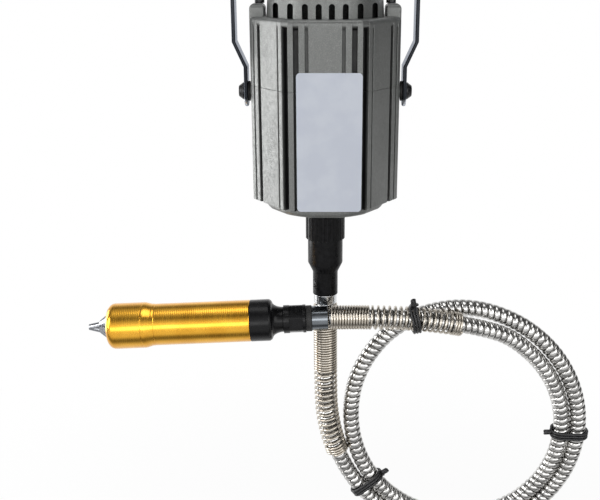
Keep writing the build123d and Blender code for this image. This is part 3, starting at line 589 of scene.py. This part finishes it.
rim_top, rim_round, rim_inside = -37.8, 2.8, 38.6
grooves_fade_from, grooves_fade_over, upper_middle, lower_middle = -44.5, 3.5, -62, -120
seam_half, seam_chamfer, foot_chamfer, base_round = 0.03, 0.2, 0.5, 3
fade = [(grooves_fade_from + grooves_fade_over * t, 0.0, max(least_groove, 1 - smooth(t, 0, 1)))
        for t in np.linspace(0, 1, 7)]
rim = [(rim_top - rim_round * (1 - math.sin(a)), rim_round * (1 - math.cos(a)), least_groove)
       for a in np.linspace(0, math.pi / 2, 7)]
upper_steps = [(seam + seam_half, seam_chamfer, 1), (seam + seam_chamfer, 0, 1), (upper_middle, 0, 1)]
upper_rows = casting_rows(upper_steps + fade + rim)
upper_rows += round_rows(upper_rows[-1], [(rim_inside, rim_top), (rim_inside, deck)])
upper_shell = casting_shell("upper_shell", upper_rows)

lower_steps = [(ribs_end, foot_chamfer, 1), (ribs_end + foot_chamfer, 0, 1), (lower_middle, 0, 1)]
lower_steps += [(seam - seam_chamfer, 0, 1), (seam - seam_half, seam_chamfer, 1)]
lower_rows = casting_rows(lower_steps)
base_steps = [(base_radius - base_round + base_round * math.sin(a), base_end + base_round * (1 - math.cos(a)))
              for a in np.linspace(0, math.pi / 2, 6)]
base_steps += [(base_radius, ribs_end - 0.4), (base_radius - 0.3, ribs_end)]
lower_shell = casting_shell("lower_shell", round_rows(lower_rows[0], base_steps) + lower_rows)


def soft_block(name, low, high, corner, crown):
    """A block with rounded upright corners and a rounded top, from its lowest and highest corners in mm."""
    rows = []
    steps = [(low[2], 0)] + [(high[2] - crown + crown * math.sin(a), crown * (1 - math.cos(a)))
                             for a in np.linspace(0, math.pi / 2, 7)]
    for height, inset in steps:
        x0, y0, x1, y1 = low[0] + inset, low[1] + inset, high[0] - inset, high[1] - inset
        flat = eased([(x0, y0), (x1, y0), (x1, y1), (x0, y1)], max(corner - inset, 0.2), 7)
        rows.append(np.concatenate([flat, np.full((len(flat), 1), height)], axis=1))
    return level_normals(skin(name, np.array(rows) / 1000, caps=True))


ear_half, ear_inside, ear_outside, ear_foot, ear_top = 8.5, 38.6, 48.55, -60.0, -30.0
ear_corner, ear_crown = 1.6, 3.2
right_ear = soft_block("right_ear", (ear_inside, -ear_half, ear_foot), (ear_outside, ear_half, ear_top),
                       ear_corner, ear_crown)
left_ear = soft_block("left_ear", (-ear_outside, -ear_half, ear_foot), (-ear_inside, ear_half, ear_top),
                      ear_corner, ear_crown)


def turned_skin(name, profile, place=lambda p: p, columns=72, ease=0.25, closed=False):
    """A piece turned from a profile of (radius, height) in mm, and put in place by a function.

    Its corners are eased. A point of the profile at angle a lies at (r cos a, r sin a, h). A closed profile
    makes a ring; an open one starts and ends near the axis and is capped.
    """
    profile = np.asarray(profile, dtype=float)
    line = eased(profile, ease)
    if not closed:
        line = np.concatenate([profile[:1], line[3:-3], profile[-1:]])
    else:
        line = np.concatenate([line, line[:1]])
    a = np.linspace(0, 2 * np.pi, columns, endpoint=False)
    r, h = line[:, :1], line[:, 1:]
    points = np.stack([r * np.cos(a), r * np.sin(a), np.broadcast_to(h, (len(line), columns))], axis=-1)
    return level_normals(skin(name, place(points) / 1000, caps=not closed, merge=closed))


pivot_height = -86.0
boss_radius, boss_from, boss_to = 4.4, 46, 49.5


def sideways(sign):
    """Puts a turned piece's height along X, outwards from the motor, at the bail's pivot."""
    def put(points):
        across, round_y, out = points[..., 0], points[..., 1], points[..., 2]
        return np.stack([sign * out, sign * round_y, pivot_height + across], axis=-1)
    return put


boss_line = [(0.01, boss_from), (boss_radius, boss_from), (boss_radius, boss_to), (0.01, boss_to)]
bosses = [turned_skin(name, boss_line, sideways(sign), 32)
          for name, sign in (("right_boss", 1), ("left_boss", -1))]

casting_paint, place, shader = finish_of("casting_paint")
cast_skin = place.noise(420, 5, roughness=0.6)
flake = place.noise(2600, 2)
tone = place.noise(18, 3)
dusty = tone.limit(0.35, 0.65).blend((0.142, 0.147, 0.142, 1), (0.172, 0.177, 0.172, 1))
# Painted shade: deep in the grooves the paint's colour falls to near black.
shade = place.make("ShaderNodeAttribute", {"attribute_name": "sunk"}, output="Fac").limit(0.05, 0.6)
painted = flake.limit(0.5, 0.75).blend(dusty, (0.26, 0.265, 0.26, 1))
wire(
    shader,
    Base_Color=shade.blend(painted, (0.012, 0.012, 0.012, 1)),
    Metallic=0.5,
    Roughness=cast_skin.limit(0.3, 0.7, 0.36, 0.52),
    Normal=relief(cast_skin, 0.00012, 0.35),
)
dress(upper_shell, casting_paint, "motor", "casting", "upper_casting")
dress(lower_shell, casting_paint, "motor", "casting", "lower_casting")
for piece in (right_ear, left_ear, *bosses):
    dress(piece, casting_paint, "motor", "casting")


# ------------------------------------------------------------------ vent cap and filter
# Slotted cap over the deck, in the same paint as the casting, with a ring of black foam behind its slots.
def worked(node, name, bevel, segments=2):
    """A copy of a CAD node's surface: doubles merged, flat faces joined, edges broken by a bevel in mm."""
    mesh = bpy.data.objects[node].data.copy()
    mesh.name = name
    mesh.materials.clear()
    work = bmesh.new()
    work.from_mesh(mesh)
    bmesh.ops.remove_doubles(work, verts=work.verts, dist=2e-6)
    bmesh.ops.dissolve_limit(work, angle_limit=math.radians(0.6), verts=work.verts, edges=work.edges)
    work.to_mesh(mesh)
    work.free()
    mesh.shade_smooth()
    piece = bpy.data.objects.new(name, mesh)
    bpy.context.scene.collection.objects.link(piece)
    rounding = piece.modifiers.new("broken_edges", "BEVEL")
    rounding.width = bevel / 1000
    rounding.segments = segments
    rounding.limit_method = "ANGLE"
    rounding.angle_limit = math.radians(34)
    return level_normals(piece)


vent_cap = worked("vent_cap", "slotted_cap", 0.3)
dress(vent_cap, casting_paint, "motor", "casting", "vent_cap")


def refinish(node, material):
    """Gives a CAD node that stays in view its finish."""
    for slot in bpy.data.objects[node].material_slots:
        slot.material = material


foam, place, shader = finish_of("filter_foam")
cells = place.make("ShaderNodeTexVoronoi", {"feature": "DISTANCE_TO_EDGE"},
                   {"Vector": place, "Scale": 1100.0})
wire(
    shader,
    Base_Color=cells.limit(0.02, 0.25).blend((0.018, 0.018, 0.018, 1), (0.003, 0.003, 0.003, 1)),
    Roughness=0.95,
    Normal=relief(cells, 0.0004, 0.8),
)
refinish("intake_filter", foam)

# ------------------------------------------------------------------ label
# Blank rating plate: pale blue-grey printed plastic, stuck across the front ribs.
label = worked("blank_label", "blank_plate", 0.08)
label_film, place, shader = finish_of("label_film")
print_tone = place.noise(60, 3)
speckle = place.noise(1800, 2)
wire(
    shader,
    Base_Color=print_tone.limit(0.35, 0.65).blend((0.64, 0.68, 0.77, 1), (0.69, 0.73, 0.81, 1)),
    Roughness=speckle.limit(0.3, 0.7, 0.40, 0.52),
    Normal=relief(speckle, 0.00002, 0.3),
)
dress(label, label_film, "motor", "label", "blank_label")

# ------------------------------------------------------------------ lead gland
# Moulded rubber sleeve in the back of the casting, bored for the mains lead.
gland = worked("lead_gland", "gland_sleeve", 0.4, 3)
rubber, place, shader = finish_of("gland_rubber")
bloom = place.noise(260, 4)
wire(
    shader,
    Base_Color=bloom.limit(0.4, 0.7).blend((0.014, 0.014, 0.014, 1), (0.032, 0.031, 0.030, 1)),
    Roughness=bloom.limit(0.3, 0.7, 0.55, 0.75),
    Normal=relief(place.noise(900, 3), 0.00006, 0.5),
)
dress(gland, rubber, "motor", "gland_rubber", "lead_gland")

# ------------------------------------------------------------------ bail and pivots
# Plated steel strip bent to a U, with a painted dark reflection along its edge faces. The motor swings on it
# by two black button screws with dark fibre washers.
bail = worked("bail", "bail_strip", 1.0, 4)
bail.modifiers["broken_edges"].use_clamp_overlap = False
bail_plate, place, shader = finish_of("bail_plating")
drawn = place.noise(160, 4, (1, 9, 1))
from_middle = place.make("ShaderNodeMath", {"operation": "ABSOLUTE"}, {0: place.axis("Y")})
face_end, edge_start = 0.0070, 0.0077
# Painted dark reflection: the plating's colour falls to near black on the strip's edge faces, past 7.7 mm
# from its middle.
painted_edge_reflection = from_middle.limit(face_end, edge_start)
plating = drawn.blend((0.50, 0.52, 0.56, 1), (0.60, 0.62, 0.66, 1))
wire(
    shader,
    Base_Color=painted_edge_reflection.blend(plating, (0.022, 0.024, 0.028, 1)),
    Metallic=1.0,
    Specular_Tint=(0.35, 0.37, 0.41, 1),
    Roughness=drawn.limit(0.3, 0.7, 0.12, 0.24),
    Normal=relief(place.noise(700, 3), 0.00003, 0.3),
)
dress(bail, bail_plate, "bail", "bail_steel", "bail")

screw_black, place, shader = finish_of("black_oxide")
oxide = place.noise(650, 4)
wire(
    shader,
    Base_Color=oxide.limit(0.4, 0.7).blend((0.012, 0.012, 0.013, 1), (0.040, 0.040, 0.042, 1)),
    Metallic=0.6,
    Roughness=oxide.limit(0.3, 0.7, 0.24, 0.42),
    Normal=relief(oxide, 0.00004, 0.4),
)
for node, name in (("pivot_screws", "button_screws"), ("case_screws", "ear_screws")):
    dress(worked(node, name, 0.35, 3), screw_black, "motor", "black_screws", node)
fibre, place, shader = finish_of("washer_fibre")
strands = place.noise(700, 4, (1, 1, 0.2))
wire(
    shader,
    Base_Color=strands.blend((0.014, 0.013, 0.012, 1), (0.035, 0.032, 0.030, 1)),
    Roughness=strands.limit(0.3, 0.7, 0.6, 0.8),
)
dress(worked("pivot_washers", "swing_washers", 0.15), fibre, "motor", "fibre", "pivot_washers")

# ------------------------------------------------------------------ motor-end coupling
# Fluted black nut and smooth black adapter that carry the hose's ferrule under the motor.
moulded_black, place, shader = finish_of("moulded_black")
mottle = place.noise(380, 5)
wire(
    shader,
    Base_Color=mottle.limit(0.4, 0.7).blend((0.004, 0.004, 0.0045, 1), (0.009, 0.009, 0.010, 1)),
    Roughness=mottle.limit(0.3, 0.7, 0.26, 0.38),
    Specular_IOR_Level=0.12,
    Normal=relief(place.noise(1500, 3), 0.00003, 0.4),
)
dress(worked("coupling_nut", "fluted_nut", 0.2), moulded_black, "nut", "black_plastic", "coupling_nut")
dress(worked("shaft_adapter", "hose_adapter", 0.5, 3), moulded_black, "motor", "black_plastic",
      "shaft_adapter")
dress(worked("adapter_set_screws", "grub_screws", 0.12), screw_black, "motor", "black_screws",
      "adapter_set_screws")
cast_grey, place, shader = finish_of("nose_casting")
blast = place.noise(500, 4)
wire(
    shader,
    Base_Color=blast.blend((0.30, 0.30, 0.30, 1), (0.42, 0.42, 0.41, 1)),
    Metallic=0.8,
    Roughness=blast.limit(0.3, 0.7, 0.35, 0.5),
    Normal=relief(blast, 0.00006, 0.5),
)
refinish("motor_nose", cast_grey)

bright_steel, place, shader = finish_of("turned_steel")
lathe_lines = place.noise(800, 4)
wire(
    shader,
    Base_Color=lathe_lines.blend((0.60, 0.61, 0.62, 1), (0.70, 0.71, 0.72, 1)),
    Metallic=1.0,
    Roughness=lathe_lines.limit(0.3, 0.7, 0.13, 0.24),
    Normal=relief(lathe_lines, 0.00001, 0.15),
)
dress(worked("motor_ferrule", "hose_ferrule", 0.4, 3), bright_steel, "motor", "bright_steel", "motor_ferrule")

# ------------------------------------------------------------------ handpiece
# Gold anodised grip with finely turned rings, a smooth step between its two diameters, a black waisted
# rear cap and quick connector, and a ground steel chuck with three jaws.
hand_place = np.array([1.9, -18.0, -240.3])
hand_tilt = math.radians(2.5)
hand_forward = np.array([-math.cos(hand_tilt), 0, -math.sin(hand_tilt)])
hand_up = np.array([-math.sin(hand_tilt), 0, math.cos(hand_tilt)])
neck_at, cap_at, grip_at, band_at, front_at, grip_end = 30.8, 39.1, 53.9, 119.7, 128.4, 152.8
neck_radius, rear_radius, front_radius = 8.7, 14.5, 15.9
ring_pitch, ring_depth = 1.3, 0.025


def in_hand(points):
    """Puts a turned piece's height forward along the handpiece from its collar."""
    return (hand_place + points[..., :1] * hand_up + points[..., 1:2] * np.array([0, 1, 0])
            + points[..., 2:] * hand_forward)


def ringed(radius, start, end):
    """A profile with turned rings: r = R - depth * (1 + cos(2 pi h / pitch)) / 2, a crest in each pitch."""
    count = int(round((end - start) / ring_pitch))
    h = np.linspace(0, count, count * 6 + 1)
    dip = (1 + np.cos(2 * np.pi * h)) / 2
    return np.stack([radius - ring_depth * dip, start + h / count * (end - start)], axis=-1).tolist()


grip_bore = 11.9
rear_line = [(grip_bore, grip_at), (rear_radius - 0.3, grip_at)]
rear_line += ringed(rear_radius, grip_at + 0.5, band_at - 0.3)
rear_line += [(rear_radius - 0.1, band_at), (grip_bore, band_at)]
grip_rear = turned_skin("gold_rear_grip", rear_line, in_hand, 84, 0.08, closed=True)
step_from, step_over, step_rise, step_slope = 1.2, 6.6, 1.2, 0.2
band_line = [(grip_bore, band_at), (rear_radius - 0.1, band_at), (rear_radius + 0.1, band_at + step_from)]
band_line += [(rear_radius + step_rise * smooth(t, 0, 1) + step_slope * t,
               band_at + step_from + step_over * t) for t in np.linspace(0.15, 1, 6)]
band_line += [(front_radius - 0.1, front_at), (grip_bore, front_at)]
grip_band = turned_skin("gold_step", band_line, in_hand, 84, 0.1, closed=True)
nose_round, nose_hole = 5.2, 10.6
front_line = [(nose_hole, front_at), (front_radius - 0.2, front_at)]
front_line += ringed(front_radius, front_at + 0.3, grip_end - nose_round)
front_line += [(front_radius - nose_round * (1 - math.cos(a)), grip_end - nose_round * (1 - math.sin(a)))
               for a in np.linspace(0.15, math.pi / 2, 9)]
front_line += [(nose_hole, grip_end)]
grip_front = turned_skin("gold_front_grip", front_line, in_hand, 84, 0.08, closed=True)

gold, place, shader = finish_of("gold_anodised")
dye = place.noise(70, 3)
tooling = place.noise(260, 2, (6, 0.3, 0.3))
wire(
    shader,
    Base_Color=dye.limit(0.35, 0.65).blend((0.74, 0.36, 0.022, 1), (0.83, 0.43, 0.035, 1)),
    Metallic=1.0,
    Roughness=tooling.limit(0.3, 0.7, 0.19, 0.28),
    Coat_Weight=0.4,
    Coat_Roughness=0.2,
    Normal=relief(tooling, 0.00001, 0.2),
)
for piece, node in ((grip_rear, "grip_rear"), (grip_band, "grip_band"), (grip_front, "grip_front")):
    dress(piece, gold, "handpiece", "gold_anodised", node)

waist = rear_radius - 1.0 - neck_radius
cap_bore = 6.9
cap_line = [(cap_bore, neck_at), (neck_radius, neck_at)]
cap_line += [(neck_radius + waist * (1 - math.sqrt(1 - t * t)), neck_at + (cap_at - neck_at) * t)
             for t in np.linspace(0.12, 1, 10)]
cap_line += [(rear_radius, cap_at + 1.6), (rear_radius, grip_at - 0.2), (grip_bore, grip_at)]
cap_line += [(cap_bore, grip_at)]
rear_cap = turned_skin("waisted_cap", cap_line, in_hand, 84, 0.35, closed=True)
black_anodised, place, shader = finish_of("black_anodised")
haze = place.noise(300, 4)
wire(
    shader,
    Base_Color=haze.blend((0.004, 0.004, 0.0045, 1), (0.010, 0.010, 0.011, 1)),
    Specular_IOR_Level=0.2,
    Roughness=haze.limit(0.3, 0.7, 0.20, 0.30),
    Normal=relief(place.noise(1400, 3), 0.00002, 0.4),
)
dress(rear_cap, black_anodised, "handpiece", "black_anodised", "rear_cap")
dress(worked("quick_connector", "connector_body", 0.4, 3), black_anodised, "handpiece", "black_anodised",
      "quick_connector")
chuck_steel, place, shader = finish_of("ground_steel")
grinding = place.noise(600, 4)
wire(
    shader,
    Base_Color=grinding.blend((0.27, 0.28, 0.30, 1), (0.46, 0.47, 0.49, 1)),
    Metallic=1.0,
    Specular_Tint=(0.45, 0.46, 0.48, 1),
    Roughness=grinding.limit(0.3, 0.7, 0.18, 0.30),
    Normal=relief(grinding, 0.00002, 0.3),
)
dress(worked("chuck_body", "chuck_nose", 0.2, 3), chuck_steel, "spindle", "bright_steel", "chuck_body")
for number, body in ((1, "jaw_a"), (2, "jaw_b"), (3, "jaw_c")):
    jaw = worked(f"jaw_{number}", f"chuck_jaw_{number}", 0.08)
    dress(jaw, chuck_steel, body, "bright_steel", f"jaw_{number}")
dark_steel, place, shader = finish_of("blued_steel")
bluing = place.noise(220, 4)
wire(
    shader,
    Base_Color=bluing.blend((0.13, 0.145, 0.16, 1), (0.20, 0.215, 0.23, 1)),
    Metallic=1.0,
    Roughness=bluing.limit(0.3, 0.7, 0.12, 0.22),
    Normal=relief(place.noise(900, 3), 0.00001, 0.2),
)
dress(worked("hose_collar", "steel_collar", 0.4, 3), dark_steel, "motor", "bright_steel", "hose_collar")
dress(worked("dust_ring", "rubber_ring", 0.5, 3), rubber, "motor", "gland_rubber", "dust_ring")

# ------------------------------------------------------------------ inside the motor and the handpiece
# Laminated stator and armature, copper windings, commutator, brushes, fan, bearings and shafts.
def plain_finish(name, dark, light, metallic, rough, scale=600, stretch=None, depth=0.00005):
    """A finish with two tones, a roughness range and a fine relief from one noise."""
    material, place, shader = finish_of(name)
    grain = place.noise(scale, 4, stretch)
    wire(shader, Base_Color=grain.limit(0.35, 0.65).blend((*dark, 1), (*light, 1)), Metallic=metallic,
         Roughness=grain.limit(0.3, 0.7, *rough), Normal=relief(grain, depth, 0.5))
    return material


laminations = plain_finish("laminations", (0.05, 0.05, 0.055), (0.16, 0.16, 0.17), 0.9, (0.35, 0.5),
                           900, (0.1, 0.1, 6))
winding = plain_finish("enamelled_wire", (0.28, 0.07, 0.02), (0.55, 0.18, 0.06), 0.9, (0.25, 0.4),
                       700, (1, 1, 4))
shaft_steel = plain_finish("ground_shaft", (0.45, 0.45, 0.46), (0.62, 0.62, 0.63), 1.0, (0.15, 0.28),
                           500, (1, 1, 5))
copper = plain_finish("copper_bars", (0.55, 0.20, 0.10), (0.75, 0.33, 0.18), 1.0, (0.2, 0.35),
                      600, (4, 4, 0.3))
fan_plastic = plain_finish("fan_moulding", (0.02, 0.02, 0.02), (0.04, 0.04, 0.04), 0.0, (0.4, 0.55))
brass = plain_finish("brush_brass", (0.45, 0.27, 0.07), (0.62, 0.40, 0.13), 1.0, (0.22, 0.36))
carbon = plain_finish("brush_carbon", (0.010, 0.010, 0.010), (0.03, 0.03, 0.03), 0.1, (0.5, 0.7))
inside = {
    laminations: ("stator_core", "armature_core"),
    winding: ("field_coils", "armature_windings"),
    shaft_steel: ("armature_shaft", "upper_bearing", "lower_bearing", "rear_bearing", "front_bearing",
                  "bearing_sleeve", "spindle", "core_stub", "drive_key", "brush_springs"),
    copper: ("commutator",),
    fan_plastic: ("cooling_fan",),
    brass: ("brush_holders",),
    carbon: ("carbon_brushes",),
}
for material, nodes in inside.items():
    for node in nodes:
        refinish(node, material)

# ------------------------------------------------------------------ studio
# A pale floor below the hanging tool, a white surround, and large soft lamps. Only reflections see the
# surround's dark band overhead, its bright panel behind the camera and the darker strip of floor in front,
# which draw the bands on polished metal.
world = bpy.data.worlds.new("studio")
bpy.context.scene.world = world
world.use_nodes = True
world_tree = world.node_tree
surround = Signal(world_tree)
camera_ray = surround.make("ShaderNodeLightPath", output="Is Camera Ray")
glossy_ray = surround.make("ShaderNodeLightPath", output="Is Glossy Ray")
clear_ray = surround.make("ShaderNodeLightPath", output="Is Transmission Ray")
direction = surround.make("ShaderNodeTexCoord", output="Generated")
height_stops = [(0.0, 1.0), (0.70, 1.0), (0.84, 0.30), (0.90, 0.10), (0.95, 0.35), (1.0, 0.75)]
level = direction.axis("Z") * 0.5 + 0.5
overhead = surround.make("ShaderNodeValToRGB", {"stops": height_stops}, {"Fac": level})
panel_height = level.limit(0.46, 0.51) * level.limit(0.58, 0.65, 1.0, 0.0)
front_panel = direction.axis("Y").limit(-0.9, -0.7, 1.0, 0.0) * panel_height
panel_strength, diffuse_strength = 2.2, 0.20
sideways_dark = direction.axis("X").maths("ABSOLUTE", direction.axis("X")).limit(0.5, 0.8, 1.15, 0.10)
mirrored = (overhead + front_panel * panel_strength) * sideways_dark
softly = glossy_ray * mirrored + (1 - glossy_ray) * diffuse_strength
white = (camera_ray + clear_ray).limit(0, 1)
world_background = world_tree.nodes["Background"]
world_tree.links.new((white + (1 - white) * softly).socket, world_background.inputs["Strength"])
world_background.inputs["Color"].default_value = (1, 1, 1, 1)


def soft_lamp(name, place, aim, size, power):
    """A rectangular area lamp pointed at a place."""
    data = bpy.data.lights.new(name, "AREA")
    data.shape = "RECTANGLE"
    data.size, data.size_y = size
    data.energy = power
    lamp = bpy.data.objects.new(name, data)
    lamp.location = place
    lamp.rotation_mode = "QUATERNION"
    lamp.rotation_quaternion = (Vector(aim) - Vector(place)).to_track_quat("-Z", "Y")
    bpy.context.scene.collection.objects.link(lamp)


tool_middle = (0, 0, -0.2)
soft_lamp("key", (-1.25, -0.55, 0.25), tool_middle, (0.6, 1.0), 12)
soft_lamp("left_edge", (-1.1, 0.45, -0.15), tool_middle, (0.5, 1.0), 9)
soft_lamp("fill", (1.0, -0.9, 0.15), tool_middle, (0.6, 0.9), 4.5)
soft_lamp("top", (0.1, -0.1, 1.1), tool_middle, (0.8, 0.8), 4)

floor_level = -0.62
floor_half = 4.0
corners = [[(x, y, floor_level) for x in (floor_half, -floor_half)] for y in (-floor_half, floor_half)]
floor = skin("floor", np.array(corners, dtype=float), closed_v=False)
floor_finish, place, shader = finish_of("floor")
wire(shader, Base_Color=(0.9, 0.9, 0.9, 1), Roughness=0.9)
direct = place.make("ShaderNodeLightPath", output="Is Camera Ray")
reflected = place.make("ShaderNodeLightPath", output="Is Glossy Ray")
away = place.make("ShaderNodeVectorMath", {"operation": "LENGTH"}, {0: place}, 1)
strip_darkness = 0.85
in_front = place.axis("Y").limit(-0.55, -0.28) * place.axis("Y").limit(-0.22, 0.0, 1.0, 0.0)
glow, unlit = (place.make("ShaderNodeEmission", {}, {"Color": (1, 1, 1, 1), "Strength": strength})
               for strength in (1.0, 0.0))
strip = place.make("ShaderNodeMixShader", {}, {0: reflected * in_front * strip_darkness, 1: glow, 2: unlit})
plain = Signal(place.tree, shader.outputs[0])
share = (direct + reflected).limit(0, 1) * away.limit(0.65, 1.0, 0.92, 1.0)
surface = place.make("ShaderNodeMixShader", {}, {0: share, 1: plain, 2: strip})
place.tree.links.new(surface.socket, place.tree.nodes["Material Output"].inputs["Surface"])
floor.data.materials.append(floor_finish)
